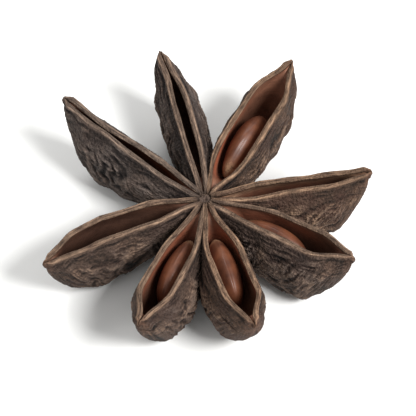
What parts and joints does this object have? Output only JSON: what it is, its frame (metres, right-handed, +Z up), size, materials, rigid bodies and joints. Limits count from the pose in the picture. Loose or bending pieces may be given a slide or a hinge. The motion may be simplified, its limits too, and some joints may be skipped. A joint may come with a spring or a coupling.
{
  "type": "star anise pod",
  "caption": "Dried star-shaped spice pod: boat-shaped woody carpels round a short column, split open along their upper seams, with glossy seeds in the wider ones.",
  "frame": {"origin": "on the axis of the central column, at the level of the surface that the pod lies on, which is the middle of the bounding box's underside to within half a millimetre", "axes": "+Z up, out of the open side of the pod; each carpel's bearing is counted from +X towards +Y, and a seed's node is named after the bearing of its carpel in degrees"},
  "size_m": [0.0277, 0.0275, 0.0087],
  "materials": {
    "pod_wood": "dry, wrinkled, matte",
    "seed_shell": "hard, smooth, glossy"
  },
  "bodies": {
    "root": {"pod": "pod_wood", "seed_60": "seed_shell", "seed_248": "seed_shell", "seed_287": "seed_shell", "seed_326": "seed_shell"}
  },
  "joints": []
}
